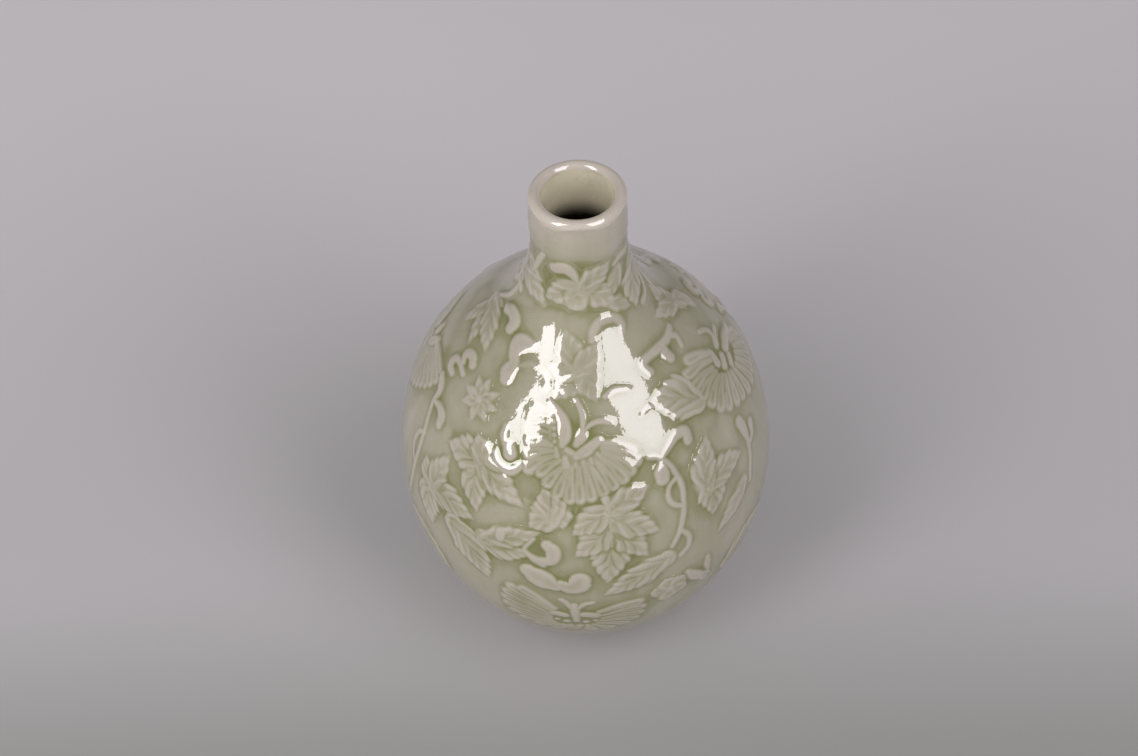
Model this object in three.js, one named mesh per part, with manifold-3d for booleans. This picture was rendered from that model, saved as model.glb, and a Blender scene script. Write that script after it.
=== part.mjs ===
// A celadon bottle vase: an egg-shaped body on a low foot ring, a short neck with a
// rounded lip, and sprigs of butterflies, vine leaves, blossoms and curling stems laid
// on the skin. Millimetres, +Z up, origin at the middle of the foot's resting face.
// The large butterfly and the vine leaf look towards -Y.
import * as THREE from "three";
import Module from "manifold-3d";

const wasm = await Module();
wasm.setup();

// Body
const BODY_RADIUS = 80; // at the widest point, between the sprigs
const BODY_RISE = 93; // half height of the egg above its widest point
const WIDEST_HEIGHT = 89; // above the table, and also where the two body halves are luted
const WALL = 4.7;
const FLOOR = 7;

// Foot
const FOOT_RADIUS = 36.1; // where the foot ring meets the body
const FOOT_HEIGHT = 6;
const FOOT_WIDTH = 7; // of the ring's resting face and bevels together
const FOOT_BEVEL = 1;

// Neck
const NECK_RADIUS = 19.5;
const SHOULDER_SWEEP = 52.5; // radius of the hollow curve between shoulder and neck
const NECK_SEAM_HEIGHT = 194; // where the neck is luted to the shoulder
const LIP_HEIGHT = 233.8; // centre of the rounded lip
const LIP_BEAD = 2.5; // radius of the rounded lip

// Sprigs
const SPRIG_GAP = 0.3; // between the skin and the back of a sprig
const SPRIG_RISE = 1.7; // thickness of a full sprig
const STEM_RISE = 1.2; // thickness of the thinnest stem

const STEM_SECTION = [
  [-1, 0],
  [-0.72, 0.75],
  [0, 1],
  [0.72, 0.75],
  [1, 0],
]; // across a stem: side in half widths, height in shares of its thickness

const AROUND = 48; // flats round each turned piece
const DEGREE = Math.PI / 180;

// Sprigs are drawn in eightieths of the body's radius, and placed in ninety-thirds of its
// rise, so that they keep their spacing on a wider, slimmer, taller or lower vase.
const drawn = (length) => (length * BODY_RADIUS) / 80;
const placed = (height) => (height * BODY_RISE) / 93;

// The skin's line as points { r, z, out: [r, z] }, from the foot up to the lip, with the
// heights between which the hollow curve runs.
function skinLine() {
  const line = [];
  const egg = (t, rise) => ({
    r: BODY_RADIUS * Math.cos(t),
    z: WIDEST_HEIGHT + rise * Math.sin(t),
    out: unit(Math.cos(t) / BODY_RADIUS, Math.sin(t) / rise),
  });
  // The hollow curve touches the egg and the neck, so its centre is one sweep off both.
  let low = 0;
  let high = Math.PI / 2;
  for (let step = 0; step < 50; step++) {
    const middle = (low + high) / 2;
    const at = egg(middle, BODY_RISE);
    const reach = at.r + SHOULDER_SWEEP * at.out[0];
    if (reach > NECK_RADIUS + SHOULDER_SWEEP) low = middle;
    else high = middle;
  }
  const touch = egg(low, BODY_RISE);
  const centreR = touch.r + SHOULDER_SWEEP * touch.out[0];
  const centreZ = touch.z + SHOULDER_SWEEP * touch.out[1];
  // The lower half is as deep as it must be to reach the foot ring at the foot's radius.
  const foot = Math.acos(FOOT_RADIUS / BODY_RADIUS);
  const drop = (WIDEST_HEIGHT - FOOT_HEIGHT) / Math.sin(foot);
  for (let i = 0; i < 120; i++) line.push(egg(-foot * (1 - i / 120), drop));
  for (let i = 0; i < 120; i++) line.push(egg((low * i) / 120, BODY_RISE));
  const start = Math.atan2(-touch.out[1], -touch.out[0]);
  for (let i = 0; i <= 80; i++) {
    const angle = start + ((-Math.PI - start) * i) / 80;
    const out = [-Math.cos(angle), -Math.sin(angle)];
    line.push({ r: centreR - SHOULDER_SWEEP * out[0], z: centreZ - SHOULDER_SWEEP * out[1], out });
  }
  line.push({ r: NECK_RADIUS, z: LIP_HEIGHT, out: [1, 0] });
  return { line, hollowFrom: touch.z, hollowTo: centreZ };
}

function unit(x, y) {
  const length = Math.hypot(x, y);
  return [x / length, y / length];
}

// The same line moved inwards by the wall.
function insideLine(line) {
  return line.map(({ r, z, out }) => ({ r: r - WALL * out[0], z: z - WALL * out[1], out }));
}

// Running length of a line at each of its points.
function lengths(line) {
  const run = [0];
  for (let i = 1; i < line.length; i++) {
    run.push(run[i - 1] + Math.hypot(line[i].r - line[i - 1].r, line[i].z - line[i - 1].z));
  }
  return run;
}

// The point of a line where its list of keys, which rises, reaches a value.
function pointWhere(line, keys, value) {
  let i = 1;
  while (i < line.length - 1 && keys[i] < value) i++;
  const part = Math.min(Math.max((value - keys[i - 1]) / (keys[i] - keys[i - 1]), 0), 1);
  const mix = (a, b) => a + (b - a) * part;
  const [a, b] = [line[i - 1], line[i]];
  return {
    r: mix(a.r, b.r),
    z: mix(a.z, b.z),
    out: unit(mix(a.out[0], b.out[0]), mix(a.out[1], b.out[1])),
    run: mix(keys[i - 1], keys[i]),
  };
}

const { line: skin, hollowFrom: HOLLOW_HEIGHT, hollowTo: STRAIGHT_HEIGHT } = skinLine();
const skinRun = lengths(skin);
const skinHeights = skin.map((point) => point.z);
const inside = insideLine(skin);

// Length along the skin at a place's height above the widest point.
function runAt(height) {
  const z = WIDEST_HEIGHT + placed(height);
  const i = skinHeights.findIndex((h) => h >= z);
  if (i <= 0) return i === 0 ? 0 : skinRun[skinRun.length - 1];
  const part = (z - skinHeights[i - 1]) / (skinHeights[i] - skinHeights[i - 1]);
  return skinRun[i - 1] + part * (skinRun[i] - skinRun[i - 1]);
}

// Evenly spaced [radius, height] points of a line between two heights.
function stretch(line, fromHeight, toHeight, steps) {
  const run = lengths(line);
  const heights = line.map((point) => point.z);
  const runFrom = interpolate(heights, run, fromHeight);
  const runTo = interpolate(heights, run, toHeight);
  const points = [];
  for (let i = 0; i <= steps; i++) {
    const point = pointWhere(line, run, runFrom + ((runTo - runFrom) * i) / steps);
    points.push([point.r, point.z]);
  }
  points[0][1] = fromHeight;
  points[steps][1] = toHeight;
  return points;
}

function interpolate(keys, values, key) {
  let i = 1;
  while (i < keys.length - 1 && keys[i] < key) i++;
  const part = (key - keys[i - 1]) / (keys[i] - keys[i - 1]);
  return values[i - 1] + part * (values[i] - values[i - 1]);
}

// Materials
const glaze = new THREE.MeshStandardMaterial({ color: 0x8d8a68, roughness: 0.15, metalness: 0 });
const paleGlaze = new THREE.MeshStandardMaterial({ color: 0xaaa48c, roughness: 0.18, metalness: 0 });
const bareClay = new THREE.MeshStandardMaterial({ color: 0xa8886a, roughness: 0.85, metalness: 0 });

const vase = new THREE.Group();
vase.name = "celadon_vase";

// A turned piece from [radius, height] points.
function turned(name, points, material) {
  const profile = points.map(([r, z]) => new THREE.Vector2(r, z));
  const geometry = new THREE.LatheGeometry(profile, AROUND);
  geometry.rotateX(Math.PI / 2);
  const mesh = new THREE.Mesh(geometry, material);
  mesh.name = name;
  vase.add(mesh);
}

function closed(points) {
  return [...points, points[0]];
}

// Foot ring: it carries the body on a flat face and rests on a flat face.
const footInner = FOOT_RADIUS - FOOT_WIDTH;
turned(
  "foot_ring",
  closed([
    [footInner, FOOT_BEVEL],
    [footInner + FOOT_BEVEL, 0],
    [FOOT_RADIUS - 1.5 * FOOT_BEVEL, 0],
    [FOOT_RADIUS - 0.5 * FOOT_BEVEL, FOOT_BEVEL],
    [FOOT_RADIUS, FOOT_HEIGHT],
    [footInner, FOOT_HEIGHT],
  ]),
  bareClay,
);

turned(
  "lower_body",
  [
    [0, FOOT_HEIGHT],
    ...stretch(skin, FOOT_HEIGHT, WIDEST_HEIGHT, 9),
    ...stretch(inside, FOOT_HEIGHT + FLOOR, WIDEST_HEIGHT, 7).reverse(),
    [0, FOOT_HEIGHT + FLOOR],
  ],
  glaze,
);

turned(
  "upper_body",
  closed([
    ...stretch(skin, WIDEST_HEIGHT, HOLLOW_HEIGHT, 7),
    ...stretch(skin, HOLLOW_HEIGHT, NECK_SEAM_HEIGHT, 7).slice(1),
    ...stretch(inside, HOLLOW_HEIGHT, NECK_SEAM_HEIGHT, 5).reverse(),
    ...stretch(inside, WIDEST_HEIGHT, HOLLOW_HEIGHT, 6).reverse().slice(1),
  ]),
  glaze,
);

// The lip is a bead over the end of the neck's wall.
const lip = [];
for (let i = 0; i <= 6; i++) {
  const angle = (Math.PI * i) / 6;
  lip.push([
    NECK_RADIUS - WALL / 2 + LIP_BEAD * Math.cos(angle),
    LIP_HEIGHT + LIP_BEAD * Math.sin(angle),
  ]);
}
const lipFoot = LIP_HEIGHT - 1.5 * LIP_BEAD;
turned(
  "neck",
  closed([
    ...stretch(skin, NECK_SEAM_HEIGHT, STRAIGHT_HEIGHT, 4),
    ...stretch(skin, STRAIGHT_HEIGHT, lipFoot, 2).slice(1),
    ...lip,
    ...stretch(inside, NECK_SEAM_HEIGHT, lipFoot, 4).reverse(),
  ]),
  glaze,
);

// A point over the skin: degrees round from the front, length along the skin, lift off it.
function overSkin(turn, run, lift) {
  const { r, z, out } = pointWhere(skin, skinRun, run);
  const reach = r + lift * out[0];
  return [reach * Math.sin(turn * DEGREE), -reach * Math.cos(turn * DEGREE), z + lift * out[1]];
}

function radiusAtRun(run) {
  return pointWhere(skin, skinRun, run).r;
}

// Where a point [x, y] about a place, in millimetres along the skin, lands on it.
function landing([turn, height, lean = 0], x, y) {
  const [c, s] = [Math.cos(lean * DEGREE), Math.sin(lean * DEGREE)];
  const run = runAt(height) + x * s + y * c;
  return [turn + (x * c - y * s) / radiusAtRun(run) / DEGREE, run];
}

function bodyOf(points, faces) {
  return new wasm.Manifold(
    new wasm.Mesh({
      numProp: 3,
      vertProperties: new Float32Array(points.flat()),
      triVerts: new Uint32Array(faces.flat()),
    }),
  );
}

// A pillow over a closed outline of [x, y] in sprig units about the place's own centre,
// which sees the whole outline. Its layers are the outline shrunk by a share and lifted.
function pillow(place, drawing, rise = SPRIG_RISE) {
  const longest = flatLength(place);
  const outline = drawing.map(([x, y]) => [drawn(x), drawn(y)]);
  const edge = divided(facingOut(outline), longest);
  const reach = Math.max(...edge.map(([x, y]) => Math.hypot(x, y)));
  const steps = Math.ceil(reach / longest);
  const layers = [
    [0, SPRIG_GAP + rise],
    [0.65, SPRIG_GAP + rise],
    [1, SPRIG_GAP + 0.5 * rise],
    [1, SPRIG_GAP],
  ];
  for (let i = steps - 1; i > 0; i--) layers.push([i / steps, SPRIG_GAP]);
  layers.push([0, SPRIG_GAP]);
  const points = [];
  const rings = layers.map(([share, lift]) => {
    const ring = share === 0 ? [[0, 0]] : edge;
    return ring.map(([x, y]) => {
      points.push(overSkin(...landing(place, x * share, y * share), lift));
      return points.length - 1;
    });
  });
  const faces = [];
  for (let k = 0; k < rings.length - 1; k++) {
    const [a, b] = [rings[k], rings[k + 1]];
    for (let i = 0; i < edge.length; i++) {
      const j = (i + 1) % edge.length;
      if (b.length > 1) faces.push([a[i % a.length], b[i], b[j]]);
      if (a.length > 1) faces.push([a[i], b[j % b.length], a[j]]);
    }
  }
  return bodyOf(points, faces);
}

// The longest straight edge that may lie over the curved skin at a place.
function flatLength([, height]) {
  return Math.sqrt(1.8 * radiusAtRun(runAt(height)));
}

// The outline turned so that it runs counter-clockwise seen from outside.
function facingOut(outline) {
  let area = 0;
  outline.forEach(([x, y], i) => {
    const [nextX, nextY] = outline[(i + 1) % outline.length];
    area += x * nextY - y * nextX;
  });
  return area > 0 ? outline : [...outline].reverse();
}

// The outline with its long edges cut into shorter ones.
function divided(outline, longest) {
  const points = [];
  outline.forEach(([x, y], i) => {
    const [nextX, nextY] = outline[(i + 1) % outline.length];
    const cuts = Math.ceil(Math.hypot(nextX - x, nextY - y) / longest);
    for (let k = 0; k < cuts; k++) {
      points.push([x + ((nextX - x) * k) / cuts, y + ((nextY - y) * k) / cuts]);
    }
  });
  return points;
}

// A stem, curl or tendril along stations of
// [degrees from the front, height above the widest point, half width].
function vine(...stations) {
  const middle = runAt(stations[Math.floor(stations.length / 2)][1]);
  const scale = radiusAtRun(middle) * DEGREE;
  const spine = new THREE.CatmullRomCurve3(
    stations.map(
      ([turn, height, half]) => new THREE.Vector3(turn * scale, runAt(height), drawn(half)),
    ),
  );
  const step = Math.min(5.5, Math.sqrt(1.3 * radiusAtRun(middle)));
  const pieces = Math.max(3, Math.round(spine.getLength() / step));
  const points = [];
  const rings = [];
  for (let i = -1; i <= pieces + 1; i++) {
    const share = Math.min(Math.max(i / pieces, 0), 1);
    const at = spine.getPointAt(share);
    const along = spine.getTangentAt(share);
    const radius = radiusAtRun(at.y);
    const [dx, dy] = unit((along.x * radius * DEGREE) / scale, along.y);
    // Each end is one narrow section further on, so that it looks rounded.
    const past = i < 0 ? -0.7 * at.z : i > pieces ? 0.7 * at.z : 0;
    const half = past === 0 ? at.z : 0.55 * at.z;
    const rise = Math.min(SPRIG_RISE, 0.6 * STEM_RISE + 0.35 * half);
    const middleTurn = at.x / scale + (past * dx) / radius / DEGREE;
    const middleRun = at.y + past * dy;
    rings.push(
      STEM_SECTION.map(([side, up]) => {
        const turn = middleTurn + (side * half * dy) / radius / DEGREE;
        points.push(overSkin(turn, middleRun - side * half * dx, SPRIG_GAP + up * rise));
        return points.length - 1;
      }),
    );
  }
  const faces = [];
  const last = rings.length - 1;
  for (let k = 0; k < last; k++) {
    const [a, b] = [rings[k], rings[k + 1]];
    for (let i = 0; i < a.length; i++) {
      const j = (i + 1) % a.length;
      faces.push([a[i], a[j], b[j]], [a[i], b[j], b[i]]);
    }
  }
  for (let i = 1; i < STEM_SECTION.length - 1; i++) {
    faces.push([rings[0][0], rings[0][i + 1], rings[0][i]]);
    faces.push([rings[last][0], rings[last][i], rings[last][i + 1]]);
  }
  return bodyOf(points, faces);
}

function joined(...bodies) {
  return wasm.Manifold.union(bodies);
}

function polar(pairs) {
  return pairs.map(([angle, r]) => [r * Math.cos(angle * DEGREE), r * Math.sin(angle * DEGREE)]);
}

// Pointed petals all round: a tip, then the notch before the next.
function pointedPetals(count, tip, notch) {
  const pairs = [];
  for (let i = 0; i < count; i++) {
    const angle = (360 * i) / count;
    pairs.push([angle, tip], [angle + 180 / count, notch]);
  }
  return polar(pairs);
}

function roundPetals(count, tip, notch) {
  const pairs = [];
  for (let i = 0; i < count; i++) {
    const angle = (360 * i) / count;
    pairs.push([angle - 90 / count, tip], [angle + 90 / count, tip], [angle + 180 / count, notch]);
  }
  return polar(pairs);
}

// Outlines in sprig units, read round each sprig as it lies on the skin.
const WINGS = [
  [1, 7.5], [10, 4.5], [21, -0.5], [24.5, -5], [21, -11], [14, -16], [6, -19.5], [-2.5, -21],
  [-9, -17], [-14, -12.5], [-21, -10], [-22, -3], [-21.5, 7], [-19.5, 14], [-15, 19.5],
  [-9.5, 17], [-5, 11], [-2, 5.5],
];
const SIDE_WINGS = [
  [6, 9], [-1.5, 14], [-5.5, 17.5], [-11.5, 19.5], [-17, 18], [-22.5, 14], [-23, 8], [-22, -2],
  [-18.5, -8], [-12, -11], [-2.5, -16.5], [5.5, -20], [13.5, -19.5], [21.5, -19], [26, -15],
  [25, -8], [22, -0.5], [12.5, 5.5],
];
const LOW_WINGS = [
  [0, 13.5], [6.5, 11.5], [17, 12.5], [26, 13], [28.5, 5], [26, -6], [20, -14], [10, -17],
  [-1, -15], [-12, -18], [-21, -13], [-29.5, -1], [-31, 12], [-26.5, 20], [-19.5, 20],
  [-12, 14], [-5, 12.5],
];
const VINE_LEAF = [
  [0, 16.5], [4.5, 17.5], [10.5, 18], [19, 18], [15.5, 10.5], [11, 7], [14, 8], [18, 4.5],
  [21.5, -4.5], [16, -5], [16, -15.5], [9, -11.5], [8, -16], [3.5, -23.5], [-1, -29],
  [-5, -21], [-5.5, -12], [-14, -12.5], [-14, -6], [-12.5, -1], [-10.5, 5], [-9.5, 10], [-6, 12],
];
const UPPER_LEAF = [
  [-17.5, 2], [-12, 6], [-12.5, 9], [-6.5, 12], [-4, 13.5], [1, 11], [3.5, 6], [8, 5], [16, -1],
  [23.5, -8.5], [14, -7], [7, -8], [7.5, -11.5], [3.5, -19], [0, -15], [-5.5, -11], [-5.5, -5],
  [-10, -3], [-14.5, 0],
];
const THREE_LOBED_LEAF = [
  [-11, -3.5], [-10.5, 3.5], [-10.5, 10.5], [-5.5, 13.5], [-1, 18.5], [3.5, 22], [3.5, 12],
  [2, 6], [9, 8], [17, 4.5], [22, 0.5], [16.5, -2.5], [10, -8], [3, -9], [-1.5, -22.5],
  [-7, -18.5], [-10, -11.5],
];
const LONG_LEAF = [
  [-11.5, 6], [-4, 10], [3.5, 9], [6.5, 3.5], [9, -1], [9, -12], [1.5, -13], [-2.5, -10.5],
  [-8, -6.5], [-11, -1.5],
];
const OVAL_LEAF = [
  [-10.5, -1], [-8, 3.5], [-3.5, 7.5], [1, 7.5], [8.5, 3], [8, -1], [6, -6], [0.5, -8],
  [-5, -7.5], [-8.5, -4.5],
];
const SMALL_LEAF = [
  [-5.5, 5], [-2.5, 8.5], [1, 7], [7.5, 3], [8, -2.5], [5.5, -7.5], [0, -9], [-6, -9.5],
  [-7, -6], [-7.5, -0.5],
];
const LEAFLETS = [
  [5.5, 20], [7, 12.5], [6, 6], [10.5, 8], [14.5, 6], [21, -1.5], [15, -4.5], [9.5, -7],
  [6, -12], [3, -18.5], [-3, -17], [-6, -10], [-6, -4], [-7, 8.5], [-3, 13.5],
];
const SHELL_LEAF = [
  [-7.5, 7], [-1.5, 8], [5, 5.5], [9, 1.5], [9.5, -4], [7.5, -7.5], [2, -8], [-4.5, -6],
  [-8.5, -2], [-9, 3],
];
const SHOULDER_LEAF = [
  [-6.5, 14.5], [-4, 16], [-1, 14.5], [1, 10.5], [3.5, 13.5], [6.5, 12], [9.5, 3], [10, -2],
  [8, -7], [10, -12], [7, -12.5], [-1.5, -8.5], [-8.5, -13], [-10, -12], [-7.5, -8], [-9, -3],
  [-11.5, 2], [-8.5, 6], [-7.5, 9.5],
];
const SPRAY_LEAF = [
  [-8, 7], [-8, 0.5], [-8.5, -6.5], [-5.5, -12], [-2.5, -7.5], [2.5, -10], [8.5, -11.5], [6, -6],
  [10, -5], [17, -6], [14.5, -1], [9, 3.5], [6, 9], [-1, 10],
];
const FORKED_LEAF = [
  [-2.5, 14.5], [2, 8], [6, -2], [6.5, -12], [-1.5, -16], [-3, -9], [-7, -3], [-15.5, 6],
  [-7, 6.5], [-4, 9],
];
const NECK_LEAF = [
  [-15.5, -1], [-9, 1], [-1.5, 4.5], [2.5, 9], [7.5, 12.5], [12.5, 11.5], [12, 6], [7.5, 2],
  [13, -2.5], [15.5, -10.5], [10, -9.5], [3.5, -6], [-1.5, -6.5], [-6.5, -8], [-12, -7.5],
];
const NECK_SIDE_LEAF = [
  [-2.5, 10], [6, 7], [9.5, 3], [11, -5], [7.5, -8.5], [1, -9.5], [-3, -7], [-6, -2], [-5, 4.5],
];
const NECK_SMALL_LEAF = [
  [-9, 0.5], [-1, 6.5], [3.5, 3], [5, -1.5], [8, -5], [3, -5.5], [-2.5, -4.5], [-7.5, -3],
];
const LOW_LEAF = [
  [-12.5, -3], [-3.5, 5], [6, 5.5], [11, 3], [8, -2], [-3.5, -7], [-8.5, -8.5],
];
const SPIKE_LEAF = [
  [-5.5, 0], [-9.5, 10.5], [-5, 9], [-1, 3], [2, 12], [5, -1.5], [2.5, -9],
];
const TIP_LEAF = [
  [5, 8], [12, 2], [6.5, -1.5], [-2.5, -3.5], [-10, -7], [-4.5, 2],
];

// Every sprig as [name, body, whether the far side carries it too].
// A place is [degrees from the front, height above the widest point, lean in degrees].
const sprigs = [
  [
    "butterfly_large",
    joined(
      pillow([-3, 61], WINGS),
      vine([-2, 63, 1.3], [-1, 68.4, 1.2], [-1, 72, 1], [-4, 76, 0.7]),
      vine([-2, 63, 1.3], [2.5, 68.3, 1.1], [7, 70, 1], [14, 68.6, 0.6]),
    ),
    true,
  ],
  ["butterfly_side", pillow([77.5, 59.5], SIDE_WINGS), false],
  ["butterfly_left", pillow([-99, 56, 20], WINGS), false],
  [
    "butterfly_low",
    joined(
      pillow([-5, -28.5], LOW_WINGS),
      vine([-5, -18, 1.4], [-7, -12.5, 1.3], [-9, -10.5, 0.8]),
      vine([-5, -18, 1.4], [-2.5, -13, 1.3], [0.5, -12, 0.8]),
    ),
    true,
  ],
  ["vine_leaf", pillow([5.8, 28], VINE_LEAF), true],
  ["upper_leaf", pillow([-39.5, 45], UPPER_LEAF), true],
  ["left_leaf", pillow([-54, 21.5], THREE_LOBED_LEAF), true],
  ["low_left_leaf", pillow([-38, 5], LONG_LEAF), true],
  [
    "hooked_leaf",
    joined(
      pillow([-26, 17], OVAL_LEAF),
      vine([-23, 20.5, 1.6], [-20.5, 23, 1.2], [-17.3, 25.8, 1]),
      vine(
        [-17.3, 26, 0.9], [-18.8, 21.5, 1], [-19, 16.5, 1.1], [-17, 12.8, 1.5], [-13.5, 12, 2],
        [-10, 14.8, 2.6], [-9.2, 19, 2.8], [-11, 22, 2.5],
      ),
    ),
    true,
  ],
  ["small_leaf", pillow([-12.4, 39], SMALL_LEAF), true],
  ["leaflets", pillow([43, 34], LEAFLETS), true],
  ["shell_leaf", pillow([42, 68], SHELL_LEAF), false],
  ["shoulder_leaf", pillow([-4, 83.5], SHOULDER_LEAF), true],
  ["spray_leaf", pillow([-86, 81], SPRAY_LEAF), false],
  ["forked_leaf", pillow([93, 84], FORKED_LEAF), false],
  [
    "neck_leaf",
    joined(
      pillow([-3, 112], NECK_LEAF),
      vine([-27, 122.5, 1.6], [-17, 124.3, 1.8], [-8, 122.5, 1.5], [-3, 116, 1]),
    ),
    true,
  ],
  [
    "neck_side_leaf",
    joined(
      pillow([64, 103.5], NECK_SIDE_LEAF),
      vine([44, 120, 1], [54, 122, 1.1], [66, 118, 1], [66, 108, 0.9]),
    ),
    true,
  ],
  [
    "neck_small_leaf",
    joined(
      pillow([-66, 107.5], NECK_SMALL_LEAF),
      vine([-52, 122.5, 1.4], [-58, 121, 1.5], [-66, 116, 1.1], [-68, 109, 1]),
    ),
    false,
  ],
  ["low_leaf", pillow([13.5, -0.5], LOW_LEAF), true],
  ["spike_leaf", pillow([37, -16.6], SPIKE_LEAF), false],
  ["far_left_leaf", pillow([-60, -19, 10], LONG_LEAF), false],
  ["far_right_leaf", pillow([58, -18, 80], LONG_LEAF), false],
  ["tip_leaf", pillow([50, 12], TIP_LEAF), false],
  ["star_flower", pillow([-50, 67], pointedPetals(8, 9.3, 3.4), 1.3), true],
  ["round_flower", pillow([25, -16], roundPetals(5, 9, 6)), true],
  [
    "left_vine",
    joined(
      vine([-73, 60, 2], [-71.5, 56.5, 1.9], [-71, 51.5, 1.3]),
      vine([-71, 51.5, 1.2], [-67, 54, 1.4], [-62.5, 54.3, 2], [-60.3, 51.5, 2.4], [-61, 48, 2]),
      vine(
        [-71.5, 52, 1.2], [-69, 45.5, 1.1], [-66.8, 37, 1], [-67, 26, 1], [-69, 13, 1], [-72, 3, 0.9],
      ),
      vine([-67, 38.5, 0.9], [-71, 34.5, 0.9], [-72, 27, 0.9], [-67.5, 20.5, 0.9]),
    ),
    true,
  ],
  [
    "right_vine",
    joined(
      vine(
        [24.5, 55.2, 1.1], [28, 53.7, 1.5], [31, 49, 1.3], [32.5, 43, 1.2], [33, 37, 1.2],
        [32, 30, 1.2], [30, 23, 1.2], [28, 17.5, 1.2], [25, 11.5, 1],
      ),
      vine([33, 40, 1], [29, 41.2, 1], [26.2, 37.6, 1], [27.5, 32.6, 1], [32, 29.6, 1]),
      vine([28.5, 18.5, 1], [31.5, 13.5, 1], [31.5, 7.5, 1.1], [27.5, 4.8, 1.2]),
      vine([28.5, 53, 1.2], [27, 49.5, 2.2], [25.3, 45.5, 3.4]),
      vine([28.5, 54, 1.3], [32, 57.5, 1.5], [36.5, 60, 1.9], [41, 59, 2.2], [41, 55, 2.1]),
    ),
    true,
  ],
  [
    "forked_scroll",
    joined(
      vine([-66, 74.3, 2], [-68, 71.3, 1.8], [-66.5, 69, 1.3], [-62.5, 68, 0.9]),
      vine([-67, 71, 1.3], [-73.5, 71, 1.9], [-77, 68, 2.2], [-74.5, 64.8, 1.7]),
    ),
    true,
  ],
  [
    "curl_scroll",
    joined(
      vine([-35, 62.5, 1.5], [-35.5, 58, 1.7], [-34, 54.5, 2], [-30.5, 53, 2.2], [-27.5, 54, 1.6]),
      vine([-32, 54, 1.4], [-30.5, 58.5, 2.2]),
    ),
    false,
  ],
  [
    "twin_scroll",
    joined(
      vine([-19.5, 6, 1.6], [-16.5, 2, 3.4], [-12.5, 0.5, 4], [-8.5, -2, 2.6]),
      vine([-9.5, -2, 2], [-5.5, -3.6, 3], [-1.8, -0.5, 3.4], [-3, 4.5, 3]),
    ),
    true,
  ],
  [
    "branch_scroll",
    joined(
      vine([40, 77.5, 1.9], [39.5, 80.5, 1.7], [43.5, 82.4, 1.4], [51, 82.2, 1.4], [58, 81.8, 1.5],
        [64, 83, 1.2]),
      vine([52, 82, 1.4], [51.5, 79.5, 1.6], [52.5, 77, 1.9]),
    ),
    false,
  ],
  [
    "shoulder_curl",
    vine([12, 93, 1.3], [13.5, 96.5, 1.7], [20, 99, 1.9], [29, 98.3, 1.9], [34.5, 94.8, 1.7],
      [33.5, 91.5, 1.3]),
    false,
  ],
  ["left_curl", vine([-74, 89.5, 1.8], [-68, 92, 2.3], [-60.5, 90.5, 2.5], [-61, 86.5, 2.1]), false],
  [
    "shoulder_scroll",
    joined(
      vine([-35, 89, 1.8], [-41, 89, 2.5], [-46, 86.3, 2.7], [-45, 82.5, 2.2], [-43.5, 79, 2.6],
        [-40.5, 76, 2.3]),
      vine([-43, 84, 1.6], [-35, 84.5, 1.4], [-28.5, 82.5, 1.6], [-24.5, 78.8, 1.9]),
    ),
    true,
  ],
  [
    "side_scroll",
    joined(
      vine([63.5, 43, 2.4], [64.5, 38.5, 2.2], [64.3, 33, 1.4], [63, 27, 1.2], [60.5, 20.6, 1.1],
        [59.5, 15.5, 1]),
      vine([64, 30.5, 1.2], [67.5, 32, 1.6], [69.5, 36, 2]),
    ),
    false,
  ],
];

for (const [name, body, onFarSide] of sprigs) {
  addSprig(name, body, 0);
  if (onFarSide) addSprig(name + "_back", body, Math.PI);
}

// A sprig's mesh, turned round the vase.
function addSprig(name, body, turn) {
  const made = body.getMesh();
  const geometry = new THREE.BufferGeometry();
  const corners = new THREE.BufferAttribute(new Float32Array(made.vertProperties), 3);
  geometry.setAttribute("position", corners);
  geometry.setIndex(new THREE.BufferAttribute(new Uint32Array(made.triVerts), 1));
  geometry.computeVertexNormals();
  const mesh = new THREE.Mesh(geometry, paleGlaze);
  mesh.name = name;
  mesh.rotation.z = turn;
  vase.add(mesh);
}

export default vase;
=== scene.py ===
"""The looks of a celadon bottle vase: glazed body halves, neck and foot ring turned from the
same line as the solids, and each sprig as a finely modelled relief of its own on the skin."""
import math

import bmesh
import bpy
import numpy as np
from mathutils import Matrix, Quaternion, Vector


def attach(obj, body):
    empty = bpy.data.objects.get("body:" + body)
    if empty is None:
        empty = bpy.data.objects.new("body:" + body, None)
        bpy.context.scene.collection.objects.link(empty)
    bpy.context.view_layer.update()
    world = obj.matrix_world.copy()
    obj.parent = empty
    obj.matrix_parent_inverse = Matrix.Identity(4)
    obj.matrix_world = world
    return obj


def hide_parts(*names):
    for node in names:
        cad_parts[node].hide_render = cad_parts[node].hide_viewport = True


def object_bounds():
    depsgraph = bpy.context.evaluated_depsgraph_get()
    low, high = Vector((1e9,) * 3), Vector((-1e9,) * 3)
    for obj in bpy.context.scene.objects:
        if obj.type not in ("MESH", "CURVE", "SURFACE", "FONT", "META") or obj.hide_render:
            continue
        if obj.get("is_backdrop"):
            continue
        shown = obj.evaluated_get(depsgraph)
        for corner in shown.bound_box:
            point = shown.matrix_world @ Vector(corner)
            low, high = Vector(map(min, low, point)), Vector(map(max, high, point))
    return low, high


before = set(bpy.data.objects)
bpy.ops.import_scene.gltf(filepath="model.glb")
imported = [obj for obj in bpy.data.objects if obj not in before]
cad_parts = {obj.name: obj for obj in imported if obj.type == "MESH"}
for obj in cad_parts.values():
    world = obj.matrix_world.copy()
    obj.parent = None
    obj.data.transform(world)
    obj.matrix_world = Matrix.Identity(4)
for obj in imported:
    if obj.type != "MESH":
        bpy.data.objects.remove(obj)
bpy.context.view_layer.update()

MM = 0.001

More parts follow.
